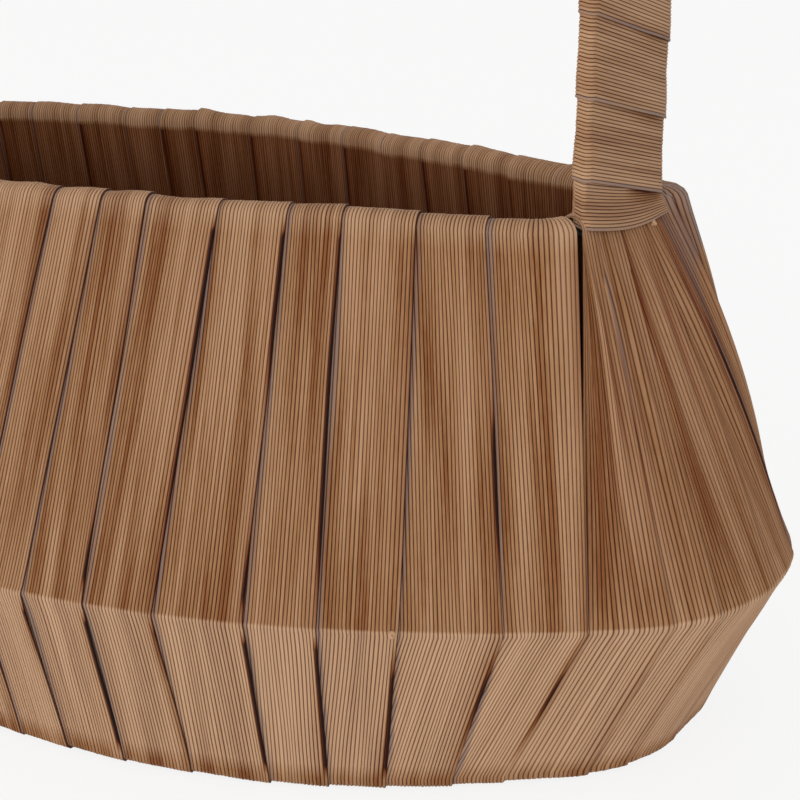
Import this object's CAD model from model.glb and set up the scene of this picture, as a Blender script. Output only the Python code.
"""Mushroom foraging basket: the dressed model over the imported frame.

Every band of tape is a mesh with its own cords, laid over the three hoops by the same
measures as the solids. Lengths are in metres, Z points up and X runs along the basket.
"""

import math

import bpy
import numpy as np
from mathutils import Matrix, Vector


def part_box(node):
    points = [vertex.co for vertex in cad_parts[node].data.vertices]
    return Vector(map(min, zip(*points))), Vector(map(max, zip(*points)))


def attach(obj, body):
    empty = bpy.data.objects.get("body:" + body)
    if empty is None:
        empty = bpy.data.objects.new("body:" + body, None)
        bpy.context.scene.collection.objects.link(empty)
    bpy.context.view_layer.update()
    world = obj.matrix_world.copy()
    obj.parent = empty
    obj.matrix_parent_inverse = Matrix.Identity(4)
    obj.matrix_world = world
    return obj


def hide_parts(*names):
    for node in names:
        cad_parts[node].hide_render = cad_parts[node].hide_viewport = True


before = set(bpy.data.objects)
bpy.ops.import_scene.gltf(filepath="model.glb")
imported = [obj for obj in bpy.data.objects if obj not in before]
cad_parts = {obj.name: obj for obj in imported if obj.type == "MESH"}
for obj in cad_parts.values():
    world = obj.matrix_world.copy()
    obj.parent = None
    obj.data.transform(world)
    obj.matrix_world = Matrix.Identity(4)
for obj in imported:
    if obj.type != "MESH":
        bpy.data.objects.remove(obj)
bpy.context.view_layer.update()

bl_info = {
    "name": "Mushroom foraging basket",
    "version": (1, 0, 0),
    "blender": (4, 5, 0),
    "location": "3D View > Sidebar > Basket",
    "description": "Tape bands, handle winding and finishes of a foraging basket",
    "category": "Object",
}

MM = 0.001

# The corded tape and its laps
TAPE_WIDTH = 28.0 * MM
TAPE_THICKNESS = 0.8 * MM
LAP_CLEARANCE = 0.6 * MM
FIT_GAP = 0.3 * MM
TAPE_STEP = TAPE_THICKNESS + LAP_CLEARANCE
# The drawn tape is thinner than the solids and its laps lie closer, as pressed tape does.
# The slack lifts all of it, so that its outermost lap ends where that of the solids does.
DRAWN_THICKNESS = 0.52 * MM
DRAWN_LAP_GAP = 0.06 * MM
DRAWN_STEP = DRAWN_THICKNESS + DRAWN_LAP_GAP
DRAWN_SLACK = TAPE_STEP - DRAWN_STEP + TAPE_THICKNESS - DRAWN_THICKNESS
WRAP_RADIUS = 2.5 * MM

# The three hoops: half length, half width, end half width, fullness, corner radius
RIM_HEIGHT = 160.0 * MM
RIM_HALF_LENGTH = 179.0 * MM
RIM_PLAN = (RIM_HALF_LENGTH, 75.0 * MM, 33.0 * MM, 1.30, 9.0 * MM)
BASE_HALF_LENGTH = 206.0 * MM
BASE_PLAN = (BASE_HALF_LENGTH, 111.0 * MM, 26.0 * MM, 2.62, 50.0 * MM)
BELLY_OVERHANG = 26.0 * MM
BELLY_HALF_LENGTH = BASE_HALF_LENGTH + BELLY_OVERHANG
BELLY_PLAN = (BELLY_HALF_LENGTH, 125.0 * MM, 28.0 * MM, 2.24, 72.0 * MM)
BELLY_HEIGHT = 55.5 * MM
BAND_FLOOR_CLEARANCE = 0.2 * MM
# The drawn mat reaches this much further than its place, so that no floor shows beside it.
MAT_OVERREACH = 1.25 * MM
MAT_SEAM = 0.3 * MM
MAT_ROWS = 9

# Places of the bands on each hoop, as shares
RIM_EDGE_SHARES = (
    -0.793, -0.676, -0.559, -0.444, -0.332, -0.218, -0.089, 0.050, 0.190,
    0.279, 0.363, 0.486, 0.598, 0.687, 0.799, 0.905, 0.9997,
)
BELLY_EDGE_SHARES = (
    -0.623, -0.528, -0.431, -0.330, -0.228, -0.124, -0.019, 0.085, 0.190,
    0.263, 0.345, 0.431, 0.534, 0.612, 0.694, 0.793, 0.875,
)
BASE_EDGE_SHARES = (
    -0.666, -0.564, -0.456, -0.346, -0.233, -0.119, -0.005, 0.109, 0.223,
    0.306, 0.393, 0.490, 0.595, 0.665, 0.731, 0.806, 0.862,
)
RIM_END_SHARES = (0.012, 0.115, 0.305, 0.508, 0.649, 0.788, 0.895)
BELLY_END_SHARES = (0.0, 0.125, 0.207, 0.355, 0.490, 0.635, 0.800)
BASE_END_SHARES = (0.0, 0.154, 0.225, 0.355, 0.500, 0.655, 0.820)
# Past the side bands of each half come the tucked ones, under the handle's foot, and then
# those that turn the corner. From the grey one on, the grey outer cord covers the band.
TUCKED_BANDS = 5
GREY_BAND = 4
# Side bands whose free edge stands open all the way under the belly
OPEN_SEAMS = (15, 16)
END_LAP_SHARE = 0.06
SLIT_WIDTH = 0.6 * MM
DRAWN_SEAM = 0.3 * MM
TUCK_INNER_ANGLE = math.radians(88.0)
TUCK_CROWN_ANGLE = math.radians(34.0)
CORNER_CROWN_ANGLE = math.radians(84.0)
CORNER_CROWN_REACH = 5.0 * MM

# The handle and its winding
HANDLE_HALF_WIDTH = 23.3 * MM
HANDLE_HALF_THICKNESS = 1.0 * MM
HANDLE_SET_OUT = 1.9 * MM
HANDLE_HALF_SPAN = RIM_HALF_LENGTH + HANDLE_SET_OUT
HANDLE_LEG_HEIGHT = 64.0 * MM
HANDLE_RISE = 140.0 * MM
WINDING_TURNS = 14
WINDING_JOINT = 0.5 * MM
WINDING_FOOT_LIFT = 0.9 * MM
FOOT_UNDERLAP = 3.5 * MM
FOOT_OUTER_DROP_NEAR = 0.9 * MM
FOOT_OUTER_DROP_FAR = 4.4 * MM
FOOT_INNER_LIFT = 3.3 * MM
FOOT_BEND_RISE = 1.0 * MM
FOOT_STEPS = 12
# The winding lies on the turn below with its free edge, and comes down within half its width.
WINDING_LAP_FULL = 0.17
WINDING_LAP_END = 0.5
NARROW_FACE_LIFT = 0.3 * MM
OUTER_FACE_LIFT = 0.8 * MM
FREE_EDGE_CURL = 0.2 * MM
FREE_EDGE_SHARE = 0.12
LAST_CORNER_TURNED = 0.7

# How the gathered bands differ: their cords are wider, and closer together at the rim
EXTRA_TUCK = 2.0 * MM
SLIT_OPENING = 1.3 * MM
END_CORD_SHARE = 1.3
GATHERED_PITCH = 1.15
PRESSED_SHARE = 0.12
CORD_ROOM = 1.4

# Where the drawn tape is fuller than the solids
BASE_FLARE = 3.2 * MM
FLARE_POWER = 1.3
FLARE_KEPT = 0.3
FLARE_FALL = 0.45
BASE_SQUARE = 0.9 * MM
SQUARE_PACE = 1.25
BELLY_SQUARE = 0.35 * MM
CORNER_START = 24.0 * MM
CORNER_RISE = 10.5 * MM
CORNER_END = 120.0 * MM
CORNER_FALL = 50.0 * MM
CORNER_BULK = 8.3 * MM
CORNER_FULLNESS = 4.6 * MM
CORNER_POWER = 1.5
CORNER_LEAN = 0.12
FULL_WALL_START = 2.0 * MM
FULL_WALL_RISE = 22.0 * MM
RIM_LUMP = 0.6 * MM
# Waves of the rim's height: how many round the basket, their phase, and their share
RIM_WAVES = ((13.0, 0.6, 0.5), (29.0, 0.0, 0.35))
RIM_WAVE_MEAN = 0.3
LUMP_FADE = 0.2
FOOT_BOW = 1.8 * MM
FOOT_DRAWN_DROP = 1.0 * MM
WINDING_GAPE = 0.8 * MM
GAPE_SHARE = 0.2
EDGE_CURL_UPPER = 0.2 * MM
EDGE_CURL_START = 0.8
EDGE_CURL_SPAN = 0.2
FOLD_RISE = 1.3 * MM
FOLD_WIDTH = 0.08

# Shade of the tape, from -1 where it is bleached to 1 where it is black
INNER_SHADE = 0.5
RIM_SHADE = -0.22
LOWER_SHADE = -0.42
BLEACHED_CREASE = 0.4
TUCKED_SHADE = 0.12
WINDING_SHADE = -0.22
# Shade beside the band before, and along the free edge
SIDE_EDGE_SHADES = (0.15, 0.55)
TUCKED_EDGE_SHADES = (0.7, 0.35)
GREY_SEAM_SHADE = 1.3
BEFORE_GREY_SHADE = 0.8
SEAM_FADE = 0.035
FREE_EDGE_FADE = 0.06
LOWER_EDGE_EXTRA = 0.5
# Black wedges: how they come and go by chance, their width in cords, and their darkness
WEDGE_CHANCE = 1.8
WEDGE_OFTEN_LOWER = 0.6
WEDGE_OFTEN_UPPER = 0.2
WEDGE_CORDS = 1.3
WEDGE_POWER = 0.6
WEDGE_SHADE = 1.4
WEDGE_LEAST = 0.05
VALLEY_ASIDE = 0.11
VALLEY_WIDTH = 0.05
VALLEY_SHADE = 0.5
GAPE_SHADE = 0.9
GAPE_SHADE_FADE = 0.03
GAPE_SHADE_LEAST = 0.2
FOOT_SHADE_REACH = 1.6 * MM
FOOT_GAPE_SHARE = 0.5
FOOT_GAPE_POWER = 0.7
FOOT_GAPE_SHADE = 1.25
# Share of the outer cord's distance that the finish is told, for the grey it gives
GREY_CORD_SPREAD = 0.12
TUCKED_CORD_SPREAD = 4.0

# Loose ends of cord that curl on the crease and under the handle's foot band
CURL_RADIUS = 0.55 * MM
CURL_CORD = 0.6 * MM
CURL_RISE = 0.7 * MM
CURL_TURNS = 1.4
CREASE_CURL_SHARE = 0.688
CREASE_CURL_TILT = 0.2
FOOT_CURL_ASIDE = 13.0 * MM
FOOT_CURL_HEIGHT = 152.0 * MM
FOOT_CURL_TILT = 0.35
CURL_STATIONS = 34
CURL_SIDES = 8

# Rows of mesh along each stretch of a band
INNER_ROWS = 9
RIM_ROWS = 8
CROWN_ROWS = 4
UPPER_ROWS = 18
BELLY_ROWS = 4
LOWER_ROWS = 11
BASE_ROWS = 6
INNER, RIM, UPPER, BELLY, LOWER, BASE = range(6)

# One cord of the tape in section: shares of its width, and of its height
CORD_PLACES = np.array((0.0, 0.17, 0.5, 0.83))
CORD_HEIGHTS = np.array((0.0, 0.86, 1.0, 0.86))
# The plain underside keeps one mesh column in so many.
UNDERSIDE_STEP = 14
# Edges sharper than this stay crisp.
SHARP_ANGLE = math.radians(62.0)
# Each tape's cords are numbered from another start, so that their dyes differ.
BAND_OFFSET = 40.0
MAT_OFFSET_PARTS = 25.0
BAND_SEED = 1000
MAT_SEED = 3000
UP = np.array((0.0, 0.0, 1.0))
SIDEWAYS = np.array((0.0, 1.0, 0.0))
ROUNDING = 1e-9

# The camera, as the photograph was taken
CAMERA_PLACE = (0.3615, -0.3855, 0.2443)
CAMERA_AZIMUTH = math.radians(33.4)
CAMERA_ELEVATION = math.radians(18.87)
CAMERA_LENS = 67.7
CAMERA_SENSOR = 36.0

# Floor and lights. Each light has a place, a target, a share of the power and a size.
FLOOR_REACH = 8.0
FLOOR_GLOW = 0.85
LIGHTS = {
    "front_light": ((0.8, -1.9, 0.42), (0.0, 0.0, 0.10), 1.0, 0.8),
    "side_light": ((-1.9, -1.0, 0.6), (0.0, 0.0, 0.06), 0.5, 1.0),
}


def linear(color):
    """Turn an sRGB hex colour into the linear one that a shader takes."""
    result = []
    for start in (1, 3, 5):
        share = int(color[start:start + 2], 16) / 255.0
        result.append(share / 12.92 if share <= 0.04045 else ((share + 0.055) / 1.055) ** 2.4)
    return (*result, 1.0)


def unit(vectors):
    return vectors / np.linalg.norm(vectors, axis=-1, keepdims=True)


def eased(share):
    """The same share with a soft start and a soft end."""
    return share * share * (3.0 - 2.0 * share)


def ramp(place, start, span):
    """Rise from nothing at start to one over a span."""
    return np.clip((place - start) / span, 0.0, 1.0)


def smooth_noise(rng, shape, knots):
    """A smooth random field from minus one to one, with so many knots each way."""
    result = rng.uniform(-1.0, 1.0, knots)
    for axis, (count, most) in enumerate(zip(shape, knots)):
        place = np.linspace(0.0, most - 1.0, count)
        low = np.minimum(place.astype(int), most - 2)
        share = eased(place - low)
        if axis == 0:
            share = share[:, None]
        result = np.take(result, low, axis) * (1.0 - share) + np.take(result, low + 1, axis) * share
    return result


def unevenness(rng, shape, knots):
    """A smooth random field from zero to one."""
    return 0.5 + 0.5 * smooth_noise(rng, shape, knots)


def bump_share(place, start, peak, end):
    """Rise from nothing at start to one at peak and back to nothing at end."""
    fall = np.clip((end - place) / (end - peak), 0.0, 1.0)
    return eased(np.minimum(ramp(place, start, peak - start), fall))


def grown(part, start, peak, end):
    """The same for the rows on one stretch of wall, and nothing for the other rows."""
    return np.nan_to_num(bump_share(part, start, peak, end))[:, None]


class Hoop:
    """A closed plan curve: two bowed sides cut off by straight ends with round corners."""

    SIDE_STEPS = 72
    CORNER_STEPS = 16
    MIDDLE_SOFTNESS = 0.15

    def __init__(self, plan, height):
        self.height = height
        quarter = self.quarter(*plan)
        points = [(x, -y) for x, y in quarter]
        points += [(x, y) for x, y in reversed(quarter)][1:]
        points += [(-x, y) for x, y in quarter][1:]
        points += [(-x, -y) for x, y in reversed(quarter)][1:-1]
        points = np.array([(x, y, 0.0) for x, y in points])
        along = unit(np.roll(points, -1, 0) - np.roll(points, 1, 0))
        normals = np.stack([along[:, 1], -along[:, 0], along[:, 2]], 1)
        self.points = np.vstack([points, points[:1]])
        self.normals = np.vstack([normals, normals[:1]])
        steps = np.linalg.norm(np.diff(self.points, axis=0), axis=1)
        self.marks = np.concatenate([[0.0], np.cumsum(steps)])
        self.length = self.marks[-1]

    def quarter(self, half_length, half_width, end_half_width, fullness, corner):
        """Points from the middle of the far side to the middle of the right end."""
        rise = half_width - end_half_width
        slope = math.atan(rise * fullness / half_length)
        setback = min(corner * math.tan(math.pi / 4 - slope / 2), end_half_width)
        points = []
        for step in range(self.SIDE_STEPS):
            share = step / self.SIDE_STEPS
            x = half_length * share
            y = end_half_width + rise * (1.0 - self.fall(share, fullness))
            if math.hypot(half_length - x, end_half_width - y) <= setback:
                break
            points.append((x, y))
        (before_x, before_y), (x, y) = points[-2:]
        corner_y = y + (y - before_y) / (x - before_x) * (half_length - x)
        end_y = end_half_width - setback
        for step in range(1, self.CORNER_STEPS + 1):
            share = step / self.CORNER_STEPS
            bend_x = (1.0 - share) ** 2 * x + (1.0 - (1.0 - share) ** 2) * half_length
            bend_y = (1.0 - share) ** 2 * y + 2 * share * (1.0 - share) * corner_y
            points.append((bend_x, bend_y + share ** 2 * end_y))
        if end_y > 0.0:
            points.append((half_length, 0.0))
        return points

    def fall(self, share, fullness):
        """Share of the way in from the middle of a side to the end, round at the middle."""
        soft = self.MIDDLE_SOFTNESS
        least = soft ** fullness
        whole = math.hypot(1.0, soft) ** fullness - least
        return (math.hypot(share, soft) ** fullness - least) / whole

    def at(self, distance):
        """Points and outward normals at distances from the middle of the near side."""
        distance = distance % self.length
        point = [np.interp(distance, self.marks, self.points[:, axis]) for axis in range(3)]
        normal = [np.interp(distance, self.marks, self.normals[:, axis]) for axis in range(3)]
        return np.stack(point, 1) + UP * self.height, unit(np.stack(normal, 1))

    def distance_at_x(self, x):
        """Distance along the near side from its middle to where it reaches x."""
        half = len(self.points) // 4 + 1
        found = np.interp(abs(x), self.points[:half, 0], self.marks[:half])
        return math.copysign(found, x)


class BandLayout:
    """Where the left edge of each band lies on one hoop, and how wide the band is there."""

    def __init__(self, hoop, half_length, edge_shares, end_shares):
        self.hoop = hoop
        edges = [hoop.distance_at_x(half_length * share) for share in edge_shares]
        self.side_count = len(edges)
        half = [edge - TAPE_WIDTH for edge in edges]
        end_arc = hoop.length / 2 + half[0] - edges[-1]
        half += [edges[-1] + end_arc * share for share in end_shares]
        self.per_half = len(half)
        self.left = half + [left + hoop.length / 2 for left in half]
        self.left += [left + hoop.length for left in self.left]

    def pitch(self, index):
        return self.left[index + 1] - self.left[index]

    def width(self, index):
        place = index % self.per_half
        if place >= self.side_count:
            return self.pitch(index) + END_LAP_SHARE * self.pitch(index + 1)
        if place == self.side_count - 1:
            return TAPE_WIDTH - SLIT_WIDTH
        return TAPE_WIDTH

    def lift(self, index, across):
        """Heights of places on the band over the wire, carried by the bands under it."""
        pitch = self.pitch(index)
        beyond = 1.0 + (across - pitch) / self.pitch(index + 1)
        return np.where(across <= pitch, across / pitch, beyond)

    def hidden_share(self, index):
        """Share of the band's width that lies under the band before it."""
        before = (index - 1) % (2 * self.per_half)
        reach = self.left[before] + self.width(before) - self.left[index]
        if before > index:
            reach -= self.hoop.length
        return reach / self.width(index)


def make_layouts():
    """The rim, belly and base hoops with their bands laid out."""
    rim = Hoop(RIM_PLAN, RIM_HEIGHT - WRAP_RADIUS - TAPE_THICKNESS - TAPE_STEP)
    belly = Hoop(BELLY_PLAN, BELLY_HEIGHT)
    base = Hoop(BASE_PLAN, 0.0)
    layouts = [
        BandLayout(rim, RIM_HALF_LENGTH, RIM_EDGE_SHARES, RIM_END_SHARES),
        BandLayout(belly, BELLY_HALF_LENGTH, BELLY_EDGE_SHARES, BELLY_END_SHARES),
        BandLayout(base, BASE_HALF_LENGTH, BASE_EDGE_SHARES, BASE_END_SHARES),
    ]
    low = layouts[2]
    lifts = [float(low.lift(index, low.width(index))) for index in range(low.per_half)]
    inner_reach = WRAP_RADIUS + TAPE_STEP * max(lifts) + TAPE_THICKNESS
    base.height = inner_reach + BAND_FLOOR_CLEARANCE
    return layouts, inner_reach


def panel_angles(first, second, outward):
    """Angles at which a panel between two hoops touches their wires."""
    angles = []
    chord = second[0] - first[0]
    for _, normal in (first, second):
        face = np.cross(np.cross(UP, normal), chord)
        angle = np.arctan2(face[:, 2], (face * normal).sum(1))
        upward = np.abs(angle) < math.pi / 2
        angle = np.where(upward != outward, angle + math.pi, angle)
        angles.append(angle % (2 * math.pi))
    return angles


def on_wire(place, angle, radius):
    point, normal = place
    turn = normal * np.cos(angle)[:, None] + UP * np.sin(angle)[:, None]
    return point + turn * radius[:, None]


def arc_points(place, start, end, radius, steps):
    """Points round a hoop's wire from one angle to another, turning downward outside."""
    sweep = (start - end) % (2 * math.pi)
    return [on_wire(place, start - sweep * i / steps, radius) for i in range(steps + 1)]


def panel_points(start, end, steps, closing=1):
    """Points between two places, without the two themselves, closer near the end."""
    shares = [1.0 - (1.0 - i / steps) ** closing for i in range(1, steps)]
    return [start + (end - start) * share for share in shares]


def belt(places, lifts, tucked, crown):
    """Rows of points along a band, and the stretch of wall that each row is on."""
    rim, belly, base = places
    rim_out, belly_up = panel_angles(rim, belly, True)
    belly_down, base_out = panel_angles(belly, base, True)
    rim_in, base_in = panel_angles(rim, base, False)
    rim_radius, belly_radius, base_radius = (WRAP_RADIUS + lift for lift in lifts)
    belly_arc = arc_points(belly, belly_up, belly_down, belly_radius, BELLY_ROWS)
    base_arc = arc_points(base, base_out, base_in, base_radius, BASE_ROWS)
    inner_foot = base_arc[-1]
    inner_head = on_wire(rim, rim_in, rim_radius)
    outer_head = on_wire(rim, rim_out, rim_radius)
    lower = panel_points(belly_arc[-1], base_arc[0], LOWER_ROWS)
    if tucked:
        top = arc_points(rim, crown, rim_out, rim_radius, CROWN_ROWS)
        upper = panel_points(outer_head, belly_arc[0], UPPER_ROWS)
        rise = panel_points(inner_foot, inner_head, INNER_ROWS, 2)
        end = np.full_like(rim_in, TUCK_INNER_ANGLE)
        hidden = arc_points(rim, rim_in, end, rim_radius, RIM_ROWS // 2)
        parts = [(RIM, top), (UPPER, upper), (BELLY, belly_arc), (LOWER, lower),
                 (BASE, base_arc), (INNER, rise), (RIM, hidden)]
    else:
        start = inner_foot + unit(inner_head - inner_foot) * DRAWN_SEAM
        rise = [start] + panel_points(start, inner_head, INNER_ROWS, 2)
        rim_arc = arc_points(rim, rim_in, rim_out, rim_radius, RIM_ROWS)
        upper = panel_points(outer_head, belly_arc[0], UPPER_ROWS)
        parts = [(INNER, rise), (RIM, rim_arc), (UPPER, upper), (BELLY, belly_arc),
                 (LOWER, lower), (BASE, base_arc)]
    rows = np.array([row for zone, part in parts for row in part])
    zones = np.array([zone for zone, part in parts for row in part])
    shares = [(i + 0.5) / len(part) for zone, part in parts for i in range(len(part))]
    return rows, zones, np.array(shares)


def cord_columns(count):
    """Places of the mesh columns across a tape, in cords, and the height of each."""
    places = (np.arange(count)[:, None] + CORD_PLACES).ravel()
    heights = np.tile(CORD_HEIGHTS, count)
    return np.append(places, count), np.append(heights, 0.0)


def add_object(name, data):
    """Put new data into the scene as an object."""
    item = bpy.data.objects.new(name, data)
    bpy.context.scene.collection.objects.link(item)
    return item


def add_uv_layers(data, layers):
    """Give each corner of a mesh the pair of values of its point, layer by layer."""
    corner_points = np.empty(len(data.loops), int)
    data.loops.foreach_get("vertex_index", corner_points)
    for name, values in layers:
        layer = data.uv_layers.new(name=name)
        layer.data.foreach_set("uv", values[corner_points].ravel())


def tape_piece(name, top, under, ribs, along, shade, offset, hidden=None, cord_spread=1.0):
    """A closed mesh from the corded face and the plain underside of a tape.

    The finish reads three UV layers: the cord and the run along it, the cords from where
    the band before it ends, and the cords from the free edge, the last two with the shade.
    """
    rows, columns = top.shape[:2]
    picks = np.unique(np.append(np.arange(0, columns, UNDERSIDE_STEP), columns - 1))
    low = under[:, picks]
    count = rows * columns
    upper = np.arange(count).reshape(rows, columns)
    lower = count + np.arange(rows * len(picks)).reshape(rows, len(picks))
    faces = []
    for grid, flip in ((upper, False), (lower, True)):
        quads = np.stack([grid[:-1, :-1], grid[:-1, 1:], grid[1:, 1:], grid[1:, :-1]], -1)
        quads = quads.reshape(-1, 4)
        faces.append(quads[:, ::-1] if flip else quads)
    faces.append(np.stack([upper[:-1, 0], upper[1:, 0], lower[1:, 0], lower[:-1, 0]], -1))
    faces.append(np.stack([upper[1:, -1], upper[:-1, -1], lower[:-1, -1], lower[1:, -1]], -1))
    points = np.vstack([top.reshape(-1, 3), low.reshape(-1, 3)])
    quads = np.vstack(faces)
    corners = points[quads]
    normal = np.cross(corners[:, 2] - corners[:, 0], corners[:, 3] - corners[:, 1])
    outward = (normal * corners.mean(1)).sum()
    caps = ([*upper[0, ::-1], *lower[0]], [*upper[-1], *lower[-1, ::-1]])
    polygons = quads.tolist() + [[int(point) for point in cap] for cap in caps]
    if outward < 0.0:
        polygons = [polygon[::-1] for polygon in polygons]
    data = bpy.data.meshes.new(name)
    data.from_pydata(points.tolist(), [], polygons)
    ribs = np.broadcast_to(ribs, (rows, columns))
    along = np.broadcast_to(along[:, None], (rows, columns))
    seam = 0.0 if hidden is None else hidden[:, None] * ribs.max()
    layers = []
    for layer_name, first, second in (
            ("tape_cords", ribs + offset, along),
            ("tape_place", np.abs(ribs - seam) * cord_spread, shade),
            ("tape_edge", ribs.max() - ribs, shade)):
        pairs = np.stack([first, second], -1)
        pairs = np.vstack([pairs.reshape(-1, 2), pairs[:, picks].reshape(-1, 2)])
        layers.append((layer_name, pairs))
    add_uv_layers(data, layers)
    data.shade_smooth()
    data.set_sharp_from_angle(angle=SHARP_ANGLE)
    data.validate()
    return add_object(name, data)


def place_piece(item, node, material):
    """Let a piece stand for its solid, with its finish."""
    item.data.materials.append(material)
    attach(item, "root")
    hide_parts(node)


def frame_directions(rows, raised):
    """Outward and across directions at each point of a band."""
    out = unit(raised - rows)
    across = np.gradient(rows, axis=1)
    return out, unit(across)


def add_node(tree, kind, inputs=None, **settings):
    """Add a node with its settings, and its inputs as values or links."""
    item = tree.nodes.new(kind)
    for key, value in settings.items():
        setattr(item, key, value)
    for key, value in (inputs or {}).items():
        if isinstance(value, bpy.types.NodeSocket):
            tree.links.new(value, item.inputs[key])
        else:
            item.inputs[key].default_value = value
    return item


def new_material(name):
    """A node material with only its shader and output."""
    material = bpy.data.materials.new(name)
    material.use_nodes = True
    return material, material.node_tree, material.node_tree.nodes["Principled BSDF"]


def seen_rays(tree):
    """One for the rays that show a surface: seen, mirrored, or seen through glass."""
    path = add_node(tree, "ShaderNodeLightPath")
    seen = path.outputs["Is Camera Ray"]
    for ray in ("Is Glossy Ray", "Is Transmission Ray"):
        seen = add_node(tree, "ShaderNodeMath", {0: seen, 1: path.outputs[ray]},
                        operation="MAXIMUM").outputs[0]
    return seen


def paper_tape(settings):
    """Kraft paper cords glued side by side: dry matt ribs, dark glued grooves, uneven dye."""
    material, tree, shader = new_material("kraft_paper_cord_glued")
    layers = []
    for name in ("tape_cords", "tape_place", "tape_edge"):
        layer = add_node(tree, "ShaderNodeUVMap", uv_map=name)
        layers.append(add_node(tree, "ShaderNodeSeparateXYZ", {0: layer.outputs[0]}).outputs)
    across, along = layers[0][0], layers[0][1]
    edge, shade = layers[1][0], layers[1][1]
    far_edge = layers[2][0]

    # The groove between two cords takes about a quarter of the 1 mm pitch.
    off_crest = across
    for operation, second in (("FRACT", 0.0), ("SUBTRACT", 0.5), ("ABSOLUTE", 0.0)):
        off_crest = add_node(tree, "ShaderNodeMath", {0: off_crest, 1: second},
                             operation=operation).outputs[0]
    groove = add_node(tree, "ShaderNodeMapRange",
                      {"Value": off_crest, "From Min": 0.27, "From Max": 0.46},
                      interpolation_type="SMOOTHSTEP").outputs[0]

    # Each cord has its own dye, which changes over about 60 mm of its length. Groups of some
    # six cords share a tone over about 120 mm. Paper fibres are drawn 0.4 mm wide and 5 mm
    # long so that they show.
    number = add_node(tree, "ShaderNodeMath", {0: across}, operation="FLOOR").outputs[0]
    noises = []
    for column, scale, detail, roughness in (
            (number, (3.7, 16.0, 1.0), 2.0, 0.6),
            (across, (0.16, 8.0, 1.0), 3.0, 0.55),
            (across, (2.5, 210.0, 1.0), 2.0, 0.5)):
        spot = add_node(tree, "ShaderNodeCombineXYZ", {0: column, 1: along})
        spot = add_node(tree, "ShaderNodeMapping", {"Vector": spot.outputs[0], "Scale": scale})
        noises.append(add_node(tree, "ShaderNodeTexNoise", {
            "Vector": spot.outputs[0], "Scale": 1.0, "Detail": detail, "Roughness": roughness},
            noise_dimensions="2D").outputs[0])
    dye, group, fibre = noises

    tone = 0.0
    for noise, weight in ((dye, 0.42), (group, 0.9), (fibre, 0.22)):
        tone = add_node(tree, "ShaderNodeMath", {0: noise, 1: weight, 2: tone},
                        operation="MULTIPLY_ADD").outputs[0]
    ramp = add_node(tree, "ShaderNodeValToRGB", {0: tone})
    ramp.color_ramp.elements[0].position = 0.56
    ramp.color_ramp.elements[0].color = settings.streak_color
    ramp.color_ramp.elements[1].position = 0.96
    ramp.color_ramp.elements[1].color = settings.light_color
    middle = ramp.color_ramp.elements.new(0.73)
    middle.color = settings.cord_color

    # The outermost cord is grey on one side, and the cut edge of the other is nearly black.
    grey_share = add_node(tree, "ShaderNodeMapRange", {
        "Value": edge, "From Min": 1.0, "From Max": 1.4, "To Min": 1.0, "To Max": 0.0},
        interpolation_type="SMOOTHSTEP").outputs[0]
    grey_part = add_node(tree, "ShaderNodeMapRange", {
        "Value": dye, "From Min": 0.32, "From Max": 0.62, "To Min": 0.25, "To Max": 0.8})
    grey_share = add_node(tree, "ShaderNodeMath", {0: grey_share, 1: grey_part.outputs[0]},
                          operation="MULTIPLY").outputs[0]
    pale_share = add_node(tree, "ShaderNodeMath", {0: shade, 1: -1.0},
                          operation="MULTIPLY", use_clamp=True).outputs[0]
    paled = add_node(tree, "ShaderNodeMix", {
        0: pale_share, 6: ramp.outputs[0], 7: settings.pale_color}, data_type="RGBA")
    greyed = add_node(tree, "ShaderNodeMix", {
        0: grey_share, 6: paled.outputs[2], 7: settings.edge_color}, data_type="RGBA")
    cut_share = add_node(tree, "ShaderNodeMapRange", {
        "Value": far_edge, "From Min": 0.1, "From Max": 0.35, "To Min": 0.85, "To Max": 0.0},
        interpolation_type="SMOOTHSTEP").outputs[0]
    edged = add_node(tree, "ShaderNodeMix", {
        0: cut_share, 6: greyed.outputs[2], 7: settings.cut_color}, data_type="RGBA")
    # Glue fills some grooves more than others, and bleached ones are fainter.
    depth = add_node(tree, "ShaderNodeMapRange", {
        "Value": group, "From Min": 0.35, "From Max": 0.65, "To Min": 1.0, "To Max": 0.72})
    faint = add_node(tree, "ShaderNodeMath", {0: pale_share, 1: -0.3, 2: 1.0},
                     operation="MULTIPLY_ADD")
    for factor in (depth, faint):
        groove = add_node(tree, "ShaderNodeMath", {0: groove, 1: factor.outputs[0]},
                          operation="MULTIPLY").outputs[0]
    grooved = add_node(tree, "ShaderNodeMix", {
        0: groove, 6: edged.outputs[2], 7: settings.groove_color}, data_type="RGBA")
    # Shaded paper turns redder first, and only the deepest folds are nearly black.
    dark_share = add_node(tree, "ShaderNodeMath", {0: shade, 1: 1.25},
                          operation="MULTIPLY", use_clamp=True).outputs[0]
    deep_share = add_node(tree, "ShaderNodeMapRange", {
        "Value": shade, "From Min": 0.6, "From Max": 1.0}, interpolation_type="SMOOTHSTEP")
    warmed = add_node(tree, "ShaderNodeMix", {
        0: dark_share, 6: grooved.outputs[2], 7: settings.warm_color},
        data_type="RGBA", blend_type="MULTIPLY")
    shaded = add_node(tree, "ShaderNodeMix", {
        0: deep_share.outputs[0], 6: warmed.outputs[2], 7: settings.shade_color}, data_type="RGBA")
    tree.links.new(shaded.outputs[2], shader.inputs["Base Color"])

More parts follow.
